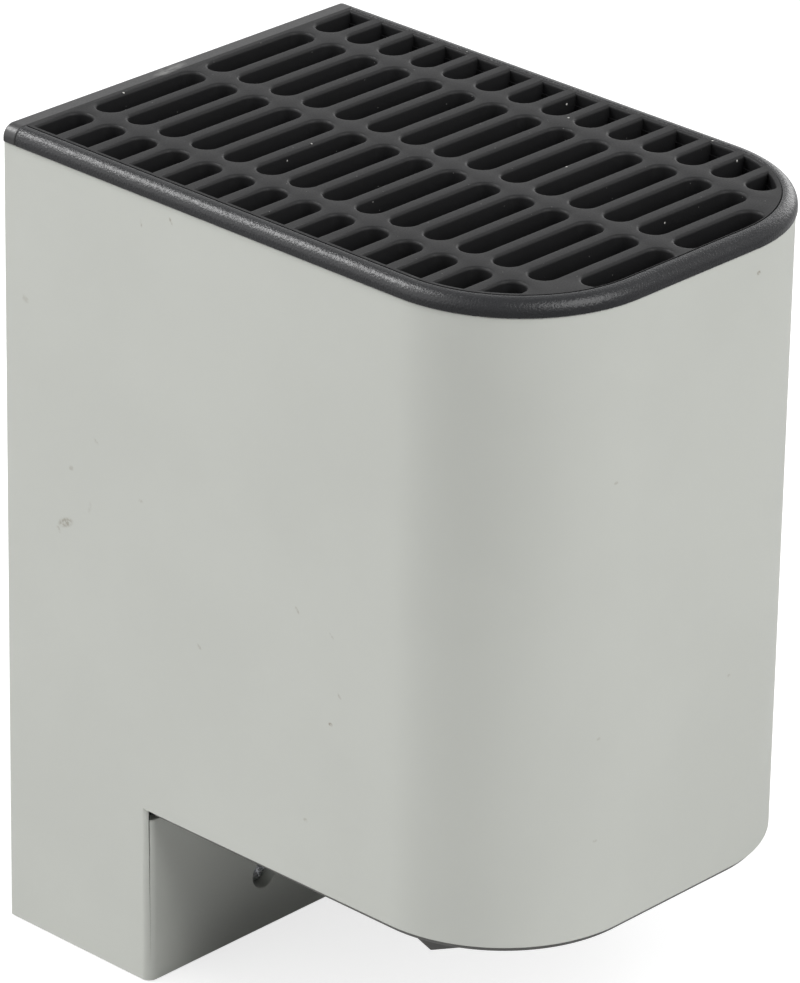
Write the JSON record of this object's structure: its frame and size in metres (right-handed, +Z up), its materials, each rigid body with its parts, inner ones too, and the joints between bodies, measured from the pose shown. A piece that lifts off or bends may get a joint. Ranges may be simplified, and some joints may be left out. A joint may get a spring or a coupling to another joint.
{
  "type": "enclosure fan heater",
  "caption": "Compact electric fan heater for a control cabinet: round-fronted casing with a slotted top outlet, bottom air intake, terminal foot and rail clip.",
  "frame": {"origin": "middle of the rail seat, on the clip's rear face", "axes": "+X to the right seen from the front, along the rail; +Y to the rear; +Z up"},
  "size_m": [0.0836, 0.1225, 0.1515],
  "materials": {
    "casing_plastic": "fine-grained moulded plastic",
    "black_plastic": "grained moulded plastic",
    "guard_plastic": "moulded plastic",
    "spring_steel": "zinc plated",
    "screw_steel": "zinc plated",
    "inlet_rubber": "matt",
    "terminal_plastic": "moulded plastic",
    "brass": "plain",
    "fan_plastic": "moulded plastic",
    "lamination": "stacked sheet",
    "copper": "enamelled wire",
    "board": "solder mask",
    "magnet": "bonded ferrite",
    "tray_steel": "galvanised",
    "frame_plastic": "heat-proof moulded plastic",
    "aluminium": "mill finish",
    "lead_brown": "wire insulation",
    "lead_blue": "wire insulation",
    "lead_grey": "wire insulation"
  },
  "bodies": {
    "housing": {"casing": "casing_plastic", "top_grille": "black_plastic", "rear_panel": "black_plastic", "intake_guard": "guard_plastic", "din_rail_clip": "spring_steel", "clip_screws": "screw_steel", "casing_screws": "screw_steel", "cable_grommet": "inlet_rubber", "terminal_block": "terminal_plastic", "terminal_clamps": "brass", "terminal_screws": "screw_steel", "fan_frame": "fan_plastic", "fan_stator": "lamination", "stator_coils": "copper", "fan_board": "board", "fan_bearings": "brass", "fan_screws": "screw_steel", "heater_tray": "tray_steel", "tray_screws": "screw_steel", "heater_frame": "frame_plastic", "ptc_bars": "aluminium", "fin_packs": "aluminium", "electrode_tabs": "brass", "thermal_limiter": "tray_steel", "lead_live": "lead_brown", "lead_neutral": "lead_blue", "lead_link": "lead_brown", "fan_lead": "lead_grey"},
    "rotor": {"fan_impeller": "fan_plastic", "fan_shaft": "screw_steel", "fan_magnet": "magnet"}
  },
  "joints": [
    {"name": "fan_spin", "type": "hinge", "parent": "housing", "child": "rotor", "pos_m": [0, -0.0715, -0.049], "axis": [0, 0, 1], "continuous": true}
  ]
}
